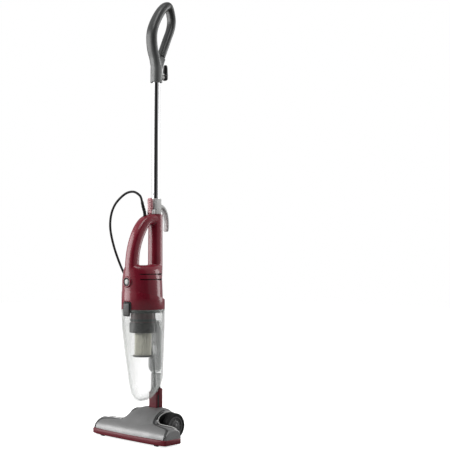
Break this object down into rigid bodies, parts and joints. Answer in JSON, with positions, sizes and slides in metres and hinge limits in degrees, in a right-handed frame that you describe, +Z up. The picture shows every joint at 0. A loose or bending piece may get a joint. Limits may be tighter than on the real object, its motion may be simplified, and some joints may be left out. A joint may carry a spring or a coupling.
{
  "type": "upright vacuum cleaner",
  "caption": "Upright stick vacuum with a tilting floor head, clear dust cup, motor unit with carrying handle, plug-in wand and loop grip.",
  "frame": {"origin": "centre of the object's bounding box in plan, on the floor it stands on", "axes": "+Z up, -Y towards the front of the floor head, +X to the right of a person standing behind it"},
  "size_m": [0.27, 0.2495, 1.1065],
  "materials": {
    "metallic_grey": "satin metallic lacquer",
    "burgundy": "pearlescent gloss",
    "dark_red": "gloss",
    "black_plastic": "fine moulded grain",
    "tyre": "soft matt",
    "hub": "satin",
    "clear_cup": "clear polished",
    "clear_duct": "clear frosted",
    "cream_filter": "pleated felt",
    "charcoal_grip": "soft-touch",
    "grey_plastic": "satin",
    "chrome": "polished",
    "steel": "turned",
    "motor_copper": "varnished",
    "rubber": "matt",
    "cord_black": "smooth sheath",
    "lint_pile": "short pile"
  },
  "bodies": {
    "floor_head": {"head_cover": "metallic_grey", "base_band": "dark_red", "sole_plate": "black_plastic", "front_glides": "black_plastic", "lint_strips": "lint_pile", "mouth_duct": "black_plastic", "wheel_axle": "steel", "axle_bosses": "black_plastic", "sole_screws": "steel"},
    "right_wheel": {"right_tyre": "tyre", "right_hub": "hub"},
    "left_wheel": {"left_tyre": "tyre", "left_hub": "hub"},
    "neck": {"neck_shell": "dark_red", "neck_strips": "black_plastic", "neck_drum": "black_plastic"},
    "neck_button": {"neck_catch": "burgundy"},
    "canister": {"dust_cup": "clear_cup", "cup_spout": "clear_cup", "inlet_duct": "clear_duct", "cup_seal": "rubber"},
    "motor_unit": {"handle_housing": "burgundy", "lower_skirt": "burgundy", "motor_cup": "dark_red", "cup_gasket": "rubber", "motor_stator": "steel", "motor_bearings": "steel", "fan_cover": "black_plastic", "switch_box": "black_plastic", "button_bezel": "burgundy", "latch_frame": "grey_plastic", "strain_relief": "cord_black", "cord": "cord_black", "cord_tail": "cord_black", "cord_coil": "cord_black", "coil_tie": "grey_plastic", "plug_body": "cord_black", "plug_pins": "steel"},
    "rotor": {"motor_shaft": "motor_copper", "fan_wheel": "grey_plastic"},
    "switch": {"power_button": "black_plastic"},
    "latch": {"canister_latch": "black_plastic"},
    "filter": {"filter_ring": "black_plastic", "filter_pleats": "cream_filter", "filter_cap": "black_plastic"},
    "wand": {"wand_collar": "grey_plastic", "wand_tube": "chrome", "lower_hook": "grey_plastic", "lever_pin": "steel", "grip_loop": "charcoal_grip", "grip_socket": "grey_plastic", "tube_screw": "steel", "hook_pivot": "grey_plastic"},
    "lever": {"release_lever": "burgundy"},
    "cord_hook": {"upper_hook": "black_plastic"}
  },
  "joints": [
    {"name": "neck_tilt", "type": "hinge", "parent": "floor_head", "child": "neck", "pos_m": [0, 0.0235, 0.032], "axis": [-1, 0, 0], "range_deg": [0, 65]},
    {"name": "right_wheel_spin", "type": "hinge", "parent": "floor_head", "child": "right_wheel", "pos_m": [0.064, 0.0235, 0.032], "axis": [1, 0, 0], "continuous": true},
    {"name": "left_wheel_spin", "type": "hinge", "parent": "floor_head", "child": "left_wheel", "pos_m": [-0.064, 0.0235, 0.032], "axis": [1, 0, 0], "continuous": true},
    {"name": "neck_button_press", "type": "slide", "parent": "neck", "child": "neck_button", "axis": [0, 0, -1], "range_m": [0, 0.002], "stiffness_N_per_m": 400},
    {"name": "canister_lift", "type": "slide", "parent": "neck", "child": "canister", "axis": [0, 0, 1], "range_m": [0, 0.06]},
    {"name": "motor_unit_lift", "type": "slide", "parent": "canister", "child": "motor_unit", "axis": [0, 0, 1], "range_m": [0, 0.12]},
    {"name": "rotor_spin", "type": "hinge", "parent": "motor_unit", "child": "rotor", "pos_m": [0, -0.0215, 0.36], "axis": [0, 0, 1], "continuous": true},
    {"name": "power_press", "type": "slide", "parent": "motor_unit", "child": "switch", "axis": [0, 1, 0], "range_m": [0, 0.002], "stiffness_N_per_m": 500},
    {"name": "latch_rock", "type": "hinge", "parent": "motor_unit", "child": "latch", "pos_m": [0, -0.0732, 0.323], "axis": [-1, 0, 0], "range_deg": [0, 6], "stiffness_Nm_per_rad": 0.5},
    {"name": "filter_twist", "type": "hinge", "parent": "motor_unit", "child": "filter", "pos_m": [0, -0.0215, 0.23], "axis": [0, 0, 1], "range_deg": [0, 30]},
    {"name": "wand_lift", "type": "slide", "parent": "motor_unit", "child": "wand", "axis": [0, 0, 1], "range_m": [0, 0.08]},
    {"name": "lever_press", "type": "hinge", "parent": "wand", "child": "lever", "pos_m": [0, 0.0022, 0.565], "axis": [-1, 0, 0], "range_deg": [0, 5], "stiffness_Nm_per_rad": 0.5},
    {"name": "cord_hook_turn", "type": "hinge", "parent": "wand", "child": "cord_hook", "pos_m": [0, 0.045, 0.909], "axis": [0, 1, 0], "range_deg": [0, 180]}
  ]
}
